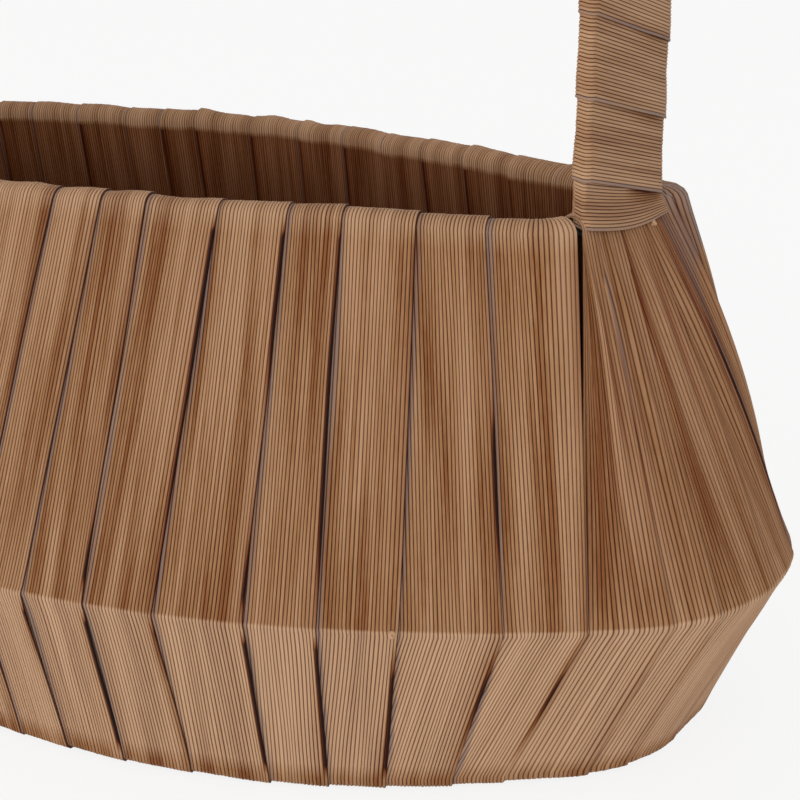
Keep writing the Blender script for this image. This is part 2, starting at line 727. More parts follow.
    rough = add_node(tree, "ShaderNodeMapRange", {
        "Value": fibre, "To Min": 0.52, "To Max": 0.78}).outputs[0]
    tree.links.new(rough, shader.inputs["Roughness"])
    bump = add_node(tree, "ShaderNodeBump", {
        "Height": fibre, "Strength": 0.35, "Distance": 0.08 * MM})
    tree.links.new(bump.outputs[0], shader.inputs["Normal"])
    shader.inputs["IOR"].default_value = 1.5
    shader.inputs["Specular IOR Level"].default_value = 0.1
    shader.inputs["Sheen Weight"].default_value = 0.06
    shader.inputs["Sheen Roughness"].default_value = 0.35
    shader.inputs["Sheen Tint"].default_value = linear("#C9BBC0")
    return material


def steel_wire():
    """Zinc-coated drawn steel: pale grey, with a faint spangle and soft reflections."""
    material, tree, shader = new_material("galvanised_steel_drawn")
    spot = add_node(tree, "ShaderNodeTexCoord")
    # Zinc crystals are about 4 mm across.
    spangle = add_node(tree, "ShaderNodeTexVoronoi", {
        "Vector": spot.outputs["Object"], "Scale": 250.0})
    ramp = add_node(tree, "ShaderNodeValToRGB", {0: spangle.outputs["Color"]})
    ramp.color_ramp.elements[0].color = linear("#BCBEBE")
    ramp.color_ramp.elements[1].color = linear("#DCDDDC")
    tree.links.new(ramp.outputs[0], shader.inputs["Base Color"])
    rough = add_node(tree, "ShaderNodeMapRange", {
        "Value": spangle.outputs["Distance"], "To Min": 0.32, "To Max": 0.5})
    tree.links.new(rough.outputs[0], shader.inputs["Roughness"])
    shader.inputs["Metallic"].default_value = 1.0
    return material


def plywood_board():
    """Sanded birch plywood: long pale grain lines with a soft satin face."""
    material, tree, shader = new_material("birch_plywood_sanded")
    spot = add_node(tree, "ShaderNodeTexCoord")
    # Grain lines stand 3 mm apart and run along the basket.
    stretch = add_node(tree, "ShaderNodeMapping", {
        "Vector": spot.outputs["Object"], "Scale": (6.0, 330.0, 330.0)})
    grain = add_node(tree, "ShaderNodeTexNoise", {
        "Vector": stretch.outputs[0], "Scale": 1.0, "Detail": 4.0, "Distortion": 0.6})
    ramp = add_node(tree, "ShaderNodeValToRGB", {0: grain.outputs[0]})
    ramp.color_ramp.elements[0].position = 0.3
    ramp.color_ramp.elements[0].color = linear("#9A7446")
    ramp.color_ramp.elements[1].position = 0.7
    ramp.color_ramp.elements[1].color = linear("#C6A673")
    tree.links.new(ramp.outputs[0], shader.inputs["Base Color"])
    shader.inputs["Roughness"].default_value = 0.55
    bump = add_node(tree, "ShaderNodeBump", {
        "Height": grain.outputs[0], "Strength": 0.25, "Distance": 0.2 * MM})
    tree.links.new(bump.outputs[0], shader.inputs["Normal"])
    return material


def tape_material():
    """The one paper tape finish, made when it is first asked for."""
    found = bpy.data.materials.get("kraft_paper_cord_glued")
    return found or paper_tape(bpy.context.scene.basket_finish)


def lengths_along(rows):
    """Distance along a tape to each of its rows."""
    steps = np.linalg.norm(np.diff(rows, axis=0), axis=-1).mean(1)
    return np.concatenate([[0.0], np.cumsum(steps)])


def cord_heights(rng, shape, heights, cord_height):
    """Height of the cords over the tape's ground, each a little different."""
    count = (shape[1] - 1) // len(CORD_PLACES)
    each = np.repeat(rng.uniform(0.78, 1.08, count), len(CORD_PLACES))
    each = np.append(each, 1.0)
    drift = 1.0 + 0.10 * smooth_noise(rng, shape, (7, count))
    return cord_height * heights * each * drift


def make_band(layouts, index):
    """One band of tape on the wall, with its cords, folds and uneven lay."""
    settings = bpy.context.scene.basket_tape
    rng = np.random.default_rng(BAND_SEED + index)
    place = index % layouts[0].per_half
    beyond = place - layouts[0].side_count
    tucked = 0 <= beyond < TUCKED_BANDS
    cord_pitch = settings.cord_pitch * (END_CORD_SHARE if tucked else 1.0)
    count = int(round((layouts[1].width(index) + EXTRA_TUCK) / cord_pitch))
    ribs, heights = cord_columns(count)
    across = ribs / count
    places, lifts, covered = [], [], []
    for number, layout in enumerate(layouts):
        narrow = GATHERED_PITCH if number == 0 and beyond >= 0 else 1.0
        extra = -SLIT_OPENING if number == 0 and beyond == 0 else EXTRA_TUCK
        width = layout.width(index) + extra
        spread = gathered(width, count - ribs, cord_pitch * narrow) - extra
        places.append(layout.hoop.at(layout.left[index] + spread))
        lifts.append(DRAWN_SLACK + DRAWN_STEP * layout.lift(index, spread))
        reach = layout.hidden_share(index) * layout.width(index) + extra
        covered.append((reach, spread + extra))
        if number == 0:
            rim_spread = spread
    near_corner = 1.0 - rim_spread / CORNER_CROWN_REACH
    crown = np.full_like(ribs, TUCK_CROWN_ANGLE)
    if beyond == 0:
        crown += (CORNER_CROWN_ANGLE - TUCK_CROWN_ANGLE) * np.clip(near_corner * 2.0, 0.0, 1.0)
    rows, zones, shares = belt(places, lifts, tucked, crown)
    raised = belt(places, [lift + MM for lift in lifts], tucked, crown)[0]
    out, side = frame_directions(rows, raised)
    rows = rows + full_forms(places, rows, zones, shares)
    shape = rows.shape[:2]
    along = lengths_along(rows)

    wave = unevenness(rng, shape, (9, 5)) * settings.lay_wave
    drift = smooth_noise(rng, shape, (8, 9)) * settings.cord_drift
    hidden = hidden_part(covered, across, zones, shares)
    raise_by, shade = band_folds(rng, place, beyond, zones, shares, across, hidden)
    wave = wave + raise_by

    under = rows + out * wave[..., None] + side * drift[..., None]
    cords = cord_heights(rng, shape, heights, settings.cord_height)
    cords = cords * room_for_cords(rows, ribs, cord_pitch)
    ground = DRAWN_THICKNESS - settings.cord_height
    top = under + out * (ground + cords)[..., None]
    # Nothing reaches below the floor.
    for face in (top, under):
        face[..., 2] = np.maximum(face[..., 2], 0.0)
    # The grey outer cord is thin on the tucked bands, and spreads over those at the corner.
    cord_spread = TUCKED_CORD_SPREAD if tucked else 1.0
    cord_spread = GREY_CORD_SPREAD if beyond >= GREY_BAND else cord_spread
    item = tape_piece(f"tape_band_{index + 1:02d}", top, under, ribs, along, shade,
                      BAND_OFFSET * index, hidden, cord_spread)
    place_piece(item, f"wall_band_{index + 1:02d}", tape_material())


def gathered(width, cords_in, pitch):
    """Places across a band of its cords, counted in from its free edge.

    Cords that the width has no room for are pressed together under the band before it.
    """
    place = 1.0 - cords_in * pitch / width
    if place.min() >= 0.0:
        return width * (1.0 - cords_in / cords_in.max())
    squeezed = PRESSED_SHARE / (1.0 + (PRESSED_SHARE - place) / PRESSED_SHARE)
    return width * np.where(place > PRESSED_SHARE, place, squeezed)


def room_for_cords(rows, ribs, pitch):
    """Share of their height that cords keep where they are pressed together."""
    gaps = np.linalg.norm(np.diff(rows, axis=1), axis=-1) / (np.diff(ribs) * pitch)
    room = np.concatenate([gaps[:, :1], np.minimum(gaps[:, 1:], gaps[:, :-1]), gaps[:, -1:]], 1)
    return np.clip(room * CORD_ROOM, 0.0, 1.0)


def full_forms(places, rows, zones, shares):
    """How far the tape stands out where it is drawn over a foot edge or a rim corner."""
    rim, belly, base = places

    def grow(direction, across, down, most):
        """A form along a direction, from its shares across the band and down its rows."""
        return direction[None] * (across[None, :] * down[:, None])[..., None] * most

    everywhere = np.ones(rows.shape[1])
    foot = np.zeros(len(zones))
    foot[zones == LOWER] = shares[zones == LOWER] ** FLARE_POWER
    under = shares[zones == BASE]
    foot[zones == BASE] = 1.0 - eased(ramp(under, FLARE_KEPT, FLARE_FALL))
    result = grow(base[1], everywhere, foot, BASE_FLARE)
    # The foot edge is bent square rather than round, and so is the crease a little.
    square = np.zeros(len(zones))
    square[zones == BASE] = np.sin(np.clip(under * SQUARE_PACE, 0.0, 1.0) * np.pi)
    result = result + grow(base[1] - UP, everywhere, square, BASE_SQUARE)
    crease = np.zeros(len(zones))
    crease[zones == BELLY] = 1.0 - np.abs(2.0 * shares[zones == BELLY] - 1.0)
    result = result + grow(belly[1], everywhere, crease, BELLY_SQUARE)
    # The rim corner beside each handle foot is bulky with lapped tape.
    turn = np.sign(rim[0][:, 0])
    x, y = rim[0][:, 0] * turn, rim[0][:, 1] * turn
    away = eased(ramp(x, CORNER_END, CORNER_FALL))
    bulk = eased(ramp(y, CORNER_START, CORNER_RISE)) * away
    height = np.zeros(len(zones))
    first_upper = int(np.argmax(zones == UPPER))
    outer_rim = (zones == RIM) & (np.arange(len(zones)) < first_upper)
    height[outer_rim] = np.sin(shares[outer_rim] * np.pi / 2) ** CORNER_POWER
    height[zones == UPPER] = 1.0 - shares[zones == UPPER]
    result = result + grow(rim[1] - UP * CORNER_LEAN, bulk, height, CORNER_BULK)
    # The wall below that corner is full instead of hollow.
    reach = ramp(y, FULL_WALL_START, FULL_WALL_RISE) * ramp(x, CORNER_END, CORNER_FALL)
    full = np.zeros(len(zones))
    full[zones == UPPER] = np.sin(shares[zones == UPPER] * np.pi)
    result = result + grow(rim[1], reach, full, CORNER_FULLNESS)
    # The rim rises and falls a little as the bands under each other add up.
    angle = np.arctan2(rim[0][:, 1], rim[0][:, 0])
    lump = sum(np.sin(angle * times + phase) * share for times, phase, share in RIM_WAVES)
    crest = np.where(zones == RIM, 1.0, 0.0)
    outer = (zones == UPPER) & (shares < LUMP_FADE)
    inner = (zones == INNER) & (shares > 1.0 - LUMP_FADE)
    crest[outer] = 1.0 - shares[outer] / LUMP_FADE
    crest[inner] = (shares[inner] - (1.0 - LUMP_FADE)) / LUMP_FADE
    upward = np.broadcast_to(UP, rim[1].shape)
    return result + grow(upward, lump + RIM_WAVE_MEAN, crest, RIM_LUMP)


def hidden_part(covered, across, zones, shares):
    """Share of a band's cords that the band before it covers, for each row."""
    rim, belly, base = covered
    ends = {INNER: (base, rim), RIM: (rim, rim), UPPER: (rim, belly), BELLY: (belly, belly),
            LOWER: (belly, base), BASE: (base, base)}
    result = []
    for zone, share in zip(zones, shares):
        (start_reach, start_places), (end_reach, end_places) = ends[zone]
        reach = start_reach + (end_reach - start_reach) * share
        places = start_places + (end_places - start_places) * share
        result.append(np.interp(reach, places, across))
    return np.array(result)


def band_folds(rng, place, beyond, zones, shares, across, hidden):
    """Rise and darkness of the folds, edge curls and seams of one band."""
    shape = (len(zones), len(across))
    tucked = 0 <= beyond < TUCKED_BANDS
    upper = np.where(zones == UPPER, shares, np.nan)
    lower = np.where(zones == LOWER, shares, np.nan)
    # The inside is dull and brown; the panel under the belly is bleached.
    dark = np.zeros(shape)
    dark[zones == INNER] = INNER_SHADE
    dark[zones == RIM] = RIM_SHADE
    dark[zones == LOWER] = LOWER_SHADE
    dark[(zones == BELLY) & (shares > BLEACHED_CREASE)] = LOWER_SHADE
    # The free edge stands a little off the band beside it, more below the belly.
    curl = grown(upper, -0.2, rng.uniform(0.3, 0.7), 1.1) * EDGE_CURL_UPPER
    curl_low = grown(lower, -0.3, rng.uniform(0.15, 0.4), 1.0)
    curl_low *= rng.uniform(0.2, 0.8) * MM
    rise = ramp(across, EDGE_CURL_START, EDGE_CURL_SPAN) ** 2 * (curl + curl_low)
    # The band beside it is shaded along that edge, by uneven amounts.
    depth = unevenness(rng, (shape[0], 2), (9, 2))[:, :1]
    outside = (zones != BASE) & ((zones != RIM) | (beyond >= GREY_BAND))
    beside = np.clip(across[None, :] - hidden[:, None], 0.0, 1.0)
    at_seam, at_edge = TUCKED_EDGE_SHADES if tucked else SIDE_EDGE_SHADES
    at_seam = GREY_SEAM_SHADE if beyond == GREY_BAND else at_seam
    at_edge = BEFORE_GREY_SHADE if beyond == GREY_BAND - 1 else at_edge
    below = 1.0 + grown(lower, -0.2, 0.2, 0.8) * LOWER_EDGE_EXTRA
    contact = np.exp(-beside / SEAM_FADE) * depth * at_seam
    contact += np.exp((across - 1.0) / FREE_EDGE_FADE) * depth * at_edge * below
    dark += contact * outside[:, None]
    # In places the free edge stands open, and a thin black wedge shows under it.
    cords_in = (1.0 - across) * (len(across) // len(CORD_PLACES))
    often = np.where(zones == LOWER, WEDGE_OFTEN_LOWER, WEDGE_OFTEN_UPPER)[:, None]
    wedge = smooth_noise(rng, (shape[0], 2), (7, 2))[:, :1] * WEDGE_CHANCE + often
    wedge = np.clip(wedge, 0.0, 1.0)
    if place in OPEN_SEAMS:
        wedge = np.maximum(wedge, grown(lower, 0.0, 0.35, 1.0))
    if beyond >= 0:
        wedge = grown(upper, 0.1, 0.5, 1.6) * (beyond == GREY_BAND - 1)
    open_rows = ((zones == UPPER) | (zones == LOWER))[:, None]
    narrowing = np.clip(1.0 - cords_in / WEDGE_CORDS, 0.0, 1.0) ** WEDGE_POWER
    wedge = wedge * open_rows * narrowing
    dark = np.maximum(dark, np.where(wedge > WEDGE_LEAST, wedge * WEDGE_SHADE, -1.0))
    if tucked:
        dark[zones == UPPER] += TUCKED_SHADE
        for middle in (rng.uniform(0.3, 0.45), rng.uniform(0.62, 0.78)):
            drift = np.nan_to_num(upper) * rng.uniform(-0.10, 0.10)
            offset = across[None, :] - middle - drift[:, None]
            reach = grown(upper, 0.0, 0.25, rng.uniform(0.75, 1.0))
            rise += np.exp(-((offset / FOLD_WIDTH) ** 2)) * reach * FOLD_RISE
            valley = np.exp(-(((offset - VALLEY_ASIDE) / VALLEY_WIDTH) ** 2))
            dark += valley * reach * VALLEY_SHADE
    return rise, np.clip(dark, -1.0, 1.0)


class Arch:
    """The middle line of the handle: an upright leg, a half ellipse and a leg."""

    STEPS = 240

    def __init__(self):
        self.foot = RIM_HEIGHT - TAPE_THICKNESS - TAPE_STEP
        spring = self.foot + HANDLE_LEG_HEIGHT
        angles = np.pi * np.arange(self.STEPS + 1) / self.STEPS
        x = HANDLE_HALF_SPAN * np.cos(angles)
        z = spring + HANDLE_RISE * np.sin(angles)
        normal_x = np.cos(angles) / HANDLE_HALF_SPAN
        normal_z = np.sin(angles) / HANDLE_RISE
        self.x = np.concatenate([[HANDLE_HALF_SPAN], x, [-HANDLE_HALF_SPAN]])
        self.z = np.concatenate([[self.foot], z, [self.foot]])
        self.angle = np.concatenate([[0.0], np.arctan2(normal_z, normal_x), [np.pi]])
        steps = np.hypot(np.diff(self.x), np.diff(self.z))
        self.marks = np.concatenate([[0.0], np.cumsum(steps)])
        self.length = self.marks[-1]

    def at(self, distance):
        """Points, and normals away from the inside of the arch, at distances."""
        x = np.interp(distance, self.marks, self.x)
        z = np.interp(distance, self.marks, self.z)
        angle = np.interp(distance, self.marks, self.angle)
        nothing = np.zeros_like(x)
        point = np.stack([x, nothing, z], -1)
        return point, np.stack([np.cos(angle), nothing, np.sin(angle)], -1)


def section_stations():
    """Places round the handle's section, and the share of the way round of each corner.

    Each place has a point of the core, a direction, and its share of the way round.
    """
    thick, wide = HANDLE_HALF_THICKNESS, HANDLE_HALF_WIDTH
    corners = [(thick + FIT_GAP, wide), (thick + FIT_GAP, -wide), (thick, -wide - FIT_GAP),
               (-thick, -wide - FIT_GAP), (-thick - FIT_GAP, -wide), (-thick - FIT_GAP, wide),
               (-thick, wide + FIT_GAP), (thick, wide + FIT_GAP)]
    marks = [0.0]
    for start, end in zip(corners, corners[1:] + corners[:1]):
        marks.append(marks[-1] + math.dist(start, end))
    marks = [mark / marks[-1] for mark in marks]
    # The faces and the corners between them: start, end, the turn at each, and steps
    near, far, back_far, back_near = (thick, wide), (thick, -wide), (-thick, -wide), (-thick, wide)
    sides = (
        (near, far, 0.0, 0.0, 8), (far, far, 0.0, -90.0, 3),
        (far, back_far, -90.0, -90.0, 2), (back_far, back_far, -90.0, -180.0, 3),
        (back_far, back_near, -180.0, -180.0, 6), (back_near, back_near, -180.0, -270.0, 3),
        (back_near, near, -270.0, -270.0, 2), (near, near, -270.0, -360.0, 3),
    )
    stations = []
    for number, (start, end, turn_start, turn_end, steps) in enumerate(sides):
        for step in range(steps):
            share = step / steps
            x = start[0] + (end[0] - start[0]) * share
            y = start[1] + (end[1] - start[1]) * share
            turn = math.radians(turn_start + (turn_end - turn_start) * share)
            mark = marks[number] + (marks[number + 1] - marks[number]) * share
            stations.append((x, y, math.cos(turn), math.sin(turn), mark))
    return np.array(stations), marks


def turned(points):
    """The same places on the other half of the basket."""
    return points * np.array((-1.0, -1.0, 1.0))


def winding_pitch(arch, marks):
    """Rise of the tape in one turn, so that the two windings meet near the top."""
    covered = arch.length - 2 * WINDING_FOOT_LIFT - 2 * TAPE_WIDTH - WINDING_JOINT
    return covered / (2 * (WINDING_TURNS - 1) + marks[1])


def make_winding(name, mirrored, last_share, seed):
    """One unbroken winding of tape from a foot of the handle to its top."""
    settings = bpy.context.scene.basket_tape
    rng = np.random.default_rng(seed)
    arch = Arch()
    stations, marks = section_stations()
    pitch = winding_pitch(arch, marks)
    rounds = np.concatenate([stations[:, 4] + turn for turn in range(WINDING_TURNS)])
    picked = np.tile(stations, (WINDING_TURNS, 1))
    keep = rounds <= WINDING_TURNS - 1 + last_share + ROUNDING
    rounds = rounds[keep]
    core_x, core_y, turn_x, turn_y, mark = picked[keep].T[..., None]
    count = int(round(TAPE_WIDTH / settings.cord_pitch))
    ribs, heights = cord_columns(count)
    share = ribs / count
    shape = (len(rounds), len(ribs))
    low = WINDING_FOOT_LIFT + pitch * rounds
    point, normal = arch.at(low[:, None] + TAPE_WIDTH * share[None, :])
    over = bump_share(-share, -WINDING_LAP_END, -WINDING_LAP_FULL, 1.0)
    narrow = np.abs(turn_y)
    lift = FIT_GAP + DRAWN_STEP * over * (1.0 - 0.5 * narrow) + NARROW_FACE_LIFT * narrow
    lift = lift + OUTER_FACE_LIFT * np.clip(turn_x, 0.0, 1.0)
    out = normal * turn_x[..., None] + SIDEWAYS * turn_y[..., None]
    core = point + normal * core_x[..., None] + SIDEWAYS * core_y[..., None]
    wave = unevenness(rng, shape, (60, 5)) * settings.lay_wave
    free_edge = np.clip(1.0 - share / FREE_EDGE_SHARE, 0.0, 1.0) ** 2 * (1.0 - narrow)
    wave = wave + free_edge * (1.0 + smooth_noise(rng, shape, (40, 2))) * FREE_EDGE_CURL
    # Near the far side of the outer face the free edge gapes a little.
    gape = bump_share(mark, 0.01, 0.07, 0.19) * np.clip(1.0 - share / GAPE_SHARE, 0.0, 1.0)
    wave = wave + gape * WINDING_GAPE
    under = core + out * (lift + wave)[..., None]
    cords = cord_heights(rng, shape, heights, settings.cord_height)
    top = under + out * (DRAWN_THICKNESS - settings.cord_height + cords)[..., None]
    if mirrored:
        top, under = turned(top), turned(under)
    # The turn below is shaded where the free edge of the next one gapes.
    uneven = unevenness(rng, (len(rounds), 2), (2 * WINDING_TURNS, 2))[:, :1]
    beneath = bump_share(mark, 0.0, 0.09, 0.3)
    beneath = beneath * (GAPE_SHADE_LEAST + (1.0 - GAPE_SHADE_LEAST) * uneven)
    to_next = np.clip(pitch / TAPE_WIDTH - share, 0.0, 1.0)
    shade = WINDING_SHADE + beneath * np.exp(-to_next / GAPE_SHADE_FADE) * GAPE_SHADE
    item = tape_piece(name, top, under, ribs, lengths_along(under), shade, BAND_OFFSET * seed)
    place_piece(item, name.replace("tape_winding", "handle_winding"), tape_material())


def end_wall_x(height):
    """Outer face of the end wall beside the rim, at its most proud."""
    run = BELLY_HALF_LENGTH - RIM_HALF_LENGTH
    drop = RIM_HEIGHT - WRAP_RADIUS - TAPE_THICKNESS - TAPE_STEP - BELLY_HEIGHT
    proud = WRAP_RADIUS + TAPE_STEP * (1.0 + END_LAP_SHARE) + TAPE_THICKNESS
    rise = BELLY_HEIGHT + drop - height
    return RIM_HALF_LENGTH + proud / math.cos(math.atan2(run, drop)) + rise * run / drop


def make_foot(name, mirrored, seed):
    """The short band that binds a foot of the handle to the rim."""
    settings = bpy.context.scene.basket_tape
    rng = np.random.default_rng(seed)
    arch = Arch()
    stations, marks = section_stations()
    pitch = winding_pitch(arch, marks)
    near_high = WINDING_FOOT_LIFT + pitch * marks[1] + FOOT_UNDERLAP
    near_drop = FOOT_OUTER_DROP_NEAR + FOOT_DRAWN_DROP
    core_face = HANDLE_HALF_SPAN + HANDLE_HALF_THICKNESS
    count = int(round((near_high + near_drop) / settings.cord_pitch))
    ribs, heights = cord_columns(count)
    share = ribs / count
    under, out, shades = [], [], []
    # Across the outer face, where the band is bent over the rim
    for step in range(FOOT_STEPS + 1):
        place = step / FOOT_STEPS
        low = arch.foot - FOOT_OUTER_DROP_FAR + (FOOT_OUTER_DROP_FAR - near_drop) * place
        low -= FOOT_BOW * math.sin(math.pi * place)
        high = arch.foot + WINDING_FOOT_LIFT + pitch * marks[1] * place + FOOT_UNDERLAP
        bend = min(RIM_HEIGHT + FOOT_BEND_RISE, (low + high) / 2)
        lifts = [max(FIT_GAP, end_wall_x(height) + LAP_CLEARANCE - core_face)
                 for height in (low, bend, high)]
        height = low + (high - low) * share
        lift = np.interp(height, (low, bend, high), lifts)
        aside = HANDLE_HALF_WIDTH * (1.0 - 2.0 * place)
        under.append(np.stack([core_face + lift, np.full_like(height, aside), height], -1))
        out.append(np.tile((1.0, 0.0, 0.0), (len(ribs), 1)))
        # The turn above gapes over the far half and shades the cords under it.
        under_turn = np.clip(high - FOOT_UNDERLAP - height, 0.0, 1.0) / FOOT_SHADE_REACH
        gape = math.sin(math.pi * min(1.0, place / FOOT_GAPE_SHARE))
        gape = gape ** FOOT_GAPE_POWER if place < FOOT_GAPE_SHARE else 0.0
        shades.append(WINDING_SHADE + FOOT_GAPE_SHADE * gape * np.exp(-under_turn))
    # Round the near corner and the inner face, to the far corner
    beyond_face = (stations[:, 4] > marks[1] + ROUNDING) & (stations[:, 4] <= marks[7])
    for x, y, turn_x, turn_y, mark in stations[beyond_face]:
        low = arch.foot + FOOT_INNER_LIFT
        high = arch.foot + WINDING_FOOT_LIFT + pitch * mark + FOOT_UNDERLAP
        if mark < marks[4]:
            blend = max(0.0, mark - marks[3]) / (marks[4] - marks[3])
            corner = min(1.0, (mark - marks[1]) / (marks[3] - marks[1]))
            drop = FOOT_OUTER_DROP_NEAR + FOOT_DRAWN_DROP * (1.0 - corner)
            low = arch.foot - drop + (drop + FOOT_INNER_LIFT) * blend
        height = low + (high - low) * share
        spot_x = np.full_like(height, HANDLE_HALF_SPAN + x + turn_x * FIT_GAP)
        spot_y = np.full_like(height, y + turn_y * FIT_GAP)
        under.append(np.stack([spot_x, spot_y, height], -1))
        out.append(np.tile((turn_x, turn_y, 0.0), (len(ribs), 1)))
        shades.append(np.full_like(height, WINDING_SHADE))
    under, out = np.array(under), np.array(out)
    cords = cord_heights(rng, under.shape[:2], heights, settings.cord_height)
    face = under + out * (TAPE_THICKNESS - settings.cord_height + cords)[..., None]
    if mirrored:
        face, under = turned(face), turned(under)
    item = tape_piece(name, face, under, ribs, lengths_along(under), np.array(shades),
                      BAND_OFFSET * seed)
    place_piece(item, name.replace("tape_foot", "foot_band"), tape_material())


def make_mat(layouts, inner_reach):
    """The floor of the basket: strips of tape laid along it side by side."""
    settings = bpy.context.scene.basket_tape
    floor_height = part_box("floor_mat")[0][2]
    plan = layouts[2].hoop
    half = len(plan.points) // 4 + 1
    inset = inner_reach - MAT_OVERREACH
    edge = plan.points[:half] - plan.normals[:half] * inset
    edge = edge[np.argsort(-edge[:, 1])]
    reach = BASE_PLAN[1] - inset
    strips = int(math.ceil(2 * reach / TAPE_WIDTH))
    strip = 2 * reach / strips
    count = int(round(strip / settings.cord_pitch))
    ribs, heights = cord_columns(count)
    pieces = []
    for number in range(strips):
        seed = MAT_SEED + number
        rng = np.random.default_rng(seed)
        y = -reach + strip * number + MAT_SEAM / 2 + (strip - MAT_SEAM) * ribs / count
        x_reach = np.interp(np.abs(y), -edge[:, 1], edge[:, 0])
        x = np.linspace(-1.0, 1.0, MAT_ROWS)[:, None] * x_reach[None, :]
        shape = x.shape
        under = np.stack([x, np.broadcast_to(y, shape), np.full(shape, floor_height)], -1)
        cords = cord_heights(rng, shape, heights, settings.cord_height)
        top = under + UP * (TAPE_THICKNESS - settings.cord_height + cords)[..., None]
        along = x[:, shape[1] // 2] + BASE_HALF_LENGTH
        pieces.append(tape_piece("tape_floor_mat", top, under, ribs, along, np.zeros(shape),
                                 BAND_OFFSET * seed / MAT_OFFSET_PARTS))
    with bpy.context.temp_override(active_object=pieces[0], object=pieces[0],
                                   selected_editable_objects=pieces):
        bpy.ops.object.join()
    item = pieces[0]
    item.name = "tape_floor_mat"
    place_piece(item, "floor_mat", tape_material())


def make_curl(name, place, axis, seed):
    """A loose end of paper cord, curled once round itself."""
    rng = np.random.default_rng(seed)
    axis = unit(np.array(axis))
    first = unit(np.cross(axis, UP + 0.01))
    second = np.cross(axis, first)
    turns = np.linspace(0.0, CURL_TURNS * 2.0 * np.pi, CURL_STATIONS)
    # The curl is a little out of round, and the cord thins to its two ends.
    round_it = CURL_RADIUS * (1.0 + 0.15 * np.sin(turns * 0.7 + rng.uniform(0.0, 3.0)))
    thin = CURL_CORD * np.clip(np.minimum(turns, turns[::-1]) * 2.0, 0.25, 1.0)[:, None, None]
    path = np.array(place) + axis * (turns * CURL_RISE / (2.0 * np.pi))[:, None]
    path = path + first * (np.cos(turns) * round_it)[:, None]
    path = path + second * (np.sin(turns) * round_it)[:, None]
    ahead = unit(np.gradient(path, axis=0))
    beside = unit(np.cross(ahead, axis))
    above = np.cross(beside, ahead)
    around = np.linspace(0.0, 2.0 * np.pi, CURL_SIDES, endpoint=False)
    rings = path[:, None] + thin * (beside[:, None] * np.cos(around)[None, :, None]
                                    + above[:, None] * np.sin(around)[None, :, None])
    rows, columns = rings.shape[:2]
    grid = np.arange(rows * columns).reshape(rows, columns)
    after = np.roll(grid, -1, 1)
    quads = np.stack([grid[:-1], grid[1:], after[1:], after[:-1]], -1).reshape(-1, 4).tolist()
    data = bpy.data.meshes.new(name)
    ends = [grid[0].tolist(), grid[-1, ::-1].tolist()]
    data.from_pydata(rings.reshape(-1, 3).tolist(), [], quads + ends)
    run = np.repeat(lengths_along(path[:, None]), columns)
    side = np.tile(0.5 + 0.2 * np.cos(around), rows)
    # It lies far from any edge of a tape, and is paler than most cords.
    add_uv_layers(data, (
        ("tape_cords", np.stack([side, run], -1)),
        ("tape_place", np.full((rows * columns, 2), (9.0, -0.35))),
        ("tape_edge", np.full((rows * columns, 2), (9.0, 0.0)))))
    data.shade_smooth()
    item = add_object(name, data)
    item.data.materials.append(tape_material())
    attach(item, "root")


class TapeSettings(bpy.types.PropertyGroup):
    """Measures of the corded tape."""

    cord_pitch: bpy.props.FloatProperty(
        name="Cord pitch", description="Width of one paper cord", default=1.0 * MM,
        unit="LENGTH")
    cord_height: bpy.props.FloatProperty(
        name="Cord height", description="Height of a cord over the groove beside it",
        default=0.34 * MM, unit="LENGTH")
    lay_wave: bpy.props.FloatProperty(
        name="Lay unevenness", description="How far a band rises off its place",
        default=0.28 * MM, unit="LENGTH")
    cord_drift: bpy.props.FloatProperty(
        name="Cord drift", description="How far the cords wander sideways",
        default=0.45 * MM, unit="LENGTH")


class FinishSettings(bpy.types.PropertyGroup):
    """Colours of the paper tape."""

    cord_color: bpy.props.FloatVectorProperty(
        name="Cord", description="Usual colour of a cord", size=4, subtype="COLOR",
        default=linear("#A27650"))
    light_color: bpy.props.FloatVectorProperty(
        name="Light cord", description="Palest colour of a cord", size=4, subtype="COLOR",
        default=linear("#B98F6C"))
    streak_color: bpy.props.FloatVectorProperty(
        name="Dark cord", description="Darkest colour of a cord", size=4, subtype="COLOR",
        default=linear("#875531"))
    groove_color: bpy.props.FloatVectorProperty(
        name="Groove", description="Colour between two cords", size=4, subtype="COLOR",
        default=linear("#481F08"))
    edge_color: bpy.props.FloatVectorProperty(
        name="Outer cord", description="Colour of the cord at the edge of the tape", size=4,
        subtype="COLOR", default=linear("#89746D"))
    cut_color: bpy.props.FloatVectorProperty(
        name="Tape edge", description="Colour of the cut edge of the tape", size=4,
        subtype="COLOR", default=linear("#33262B"))
    pale_color: bpy.props.FloatVectorProperty(
        name="Bleached cord", description="Colour of the tape under the belly", size=4,
        subtype="COLOR", default=linear("#E2BE9E"))
    warm_color: bpy.props.FloatVectorProperty(
        name="Shade", description="Tint of the tape where little light falls", size=4,
        subtype="COLOR", default=linear("#AA681C"))
    shade_color: bpy.props.FloatVectorProperty(
        name="Fold", description="Colour deep in the folds", size=4, subtype="COLOR",
        default=linear("#1C0B08"))


class StageSettings(bpy.types.PropertyGroup):
    """Light and floor."""

    key_power: bpy.props.FloatProperty(
        name="Front light", description="Power of the front light", default=14.0,
        unit="POWER")
    fill_strength: bpy.props.FloatProperty(
        name="Room light", description="Strength of the light from all round", default=0.62)
    floor_color: bpy.props.FloatVectorProperty(
        name="Floor", description="Colour of the floor", size=4, subtype="COLOR",
        default=linear("#F4F3F1"))


